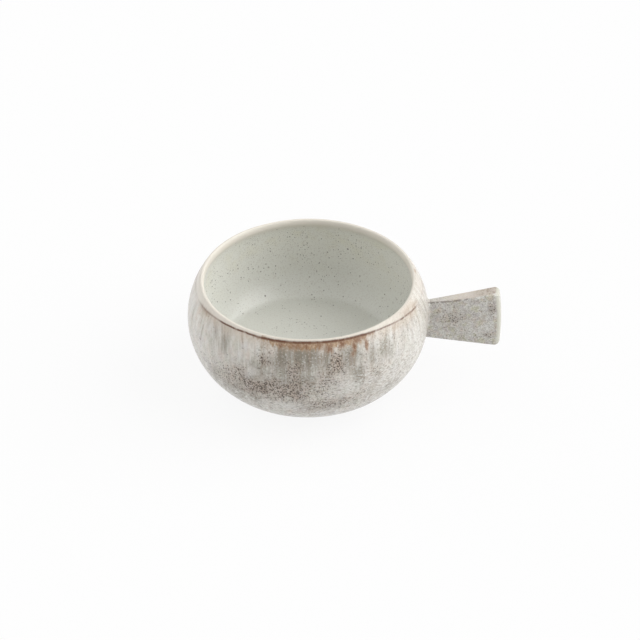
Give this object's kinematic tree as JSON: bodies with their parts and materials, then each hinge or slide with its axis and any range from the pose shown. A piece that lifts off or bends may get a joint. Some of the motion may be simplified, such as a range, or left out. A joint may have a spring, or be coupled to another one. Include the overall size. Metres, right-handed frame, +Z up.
{
  "type": "lug soup bowl",
  "caption": "Round-bellied glazed stoneware soup bowl with a rounded lip, a bare foot ring and a flat lug handle that flares outwards, to hold and serve hot soup.",
  "frame": {"origin": "centre of the foot ring, on the table", "axes": "+Z up along the bowl's axis, +X out along the lug handle, -Y towards the picture's viewer"},
  "size_m": [0.1687, 0.13, 0.0655],
  "materials": {
    "stoneware": "fired stoneware, matte",
    "bare_stoneware": "unglazed, fine sandy",
    "slip": "fired slip, matte",
    "inner_glaze": "satin-gloss pale grey-green glaze with fine specks",
    "rim_glaze": "satin-gloss cream glaze",
    "outer_glaze": "satin-gloss mottled grey glaze with rust runs and dark speckle",
    "handle_glaze": "satin-gloss mottled grey glaze, cream at the edges",
    "base_glaze": "thin satin glaze"
  },
  "bodies": {
    "root": {"bowl_body": "stoneware", "foot_ring": "bare_stoneware", "lug_handle": "stoneware", "handle_slip_joint": "slip", "inner_glaze": "inner_glaze", "rim_glaze": "rim_glaze", "outer_glaze": "outer_glaze", "handle_glaze": "handle_glaze", "base_glaze": "base_glaze"}
  },
  "joints": []
}
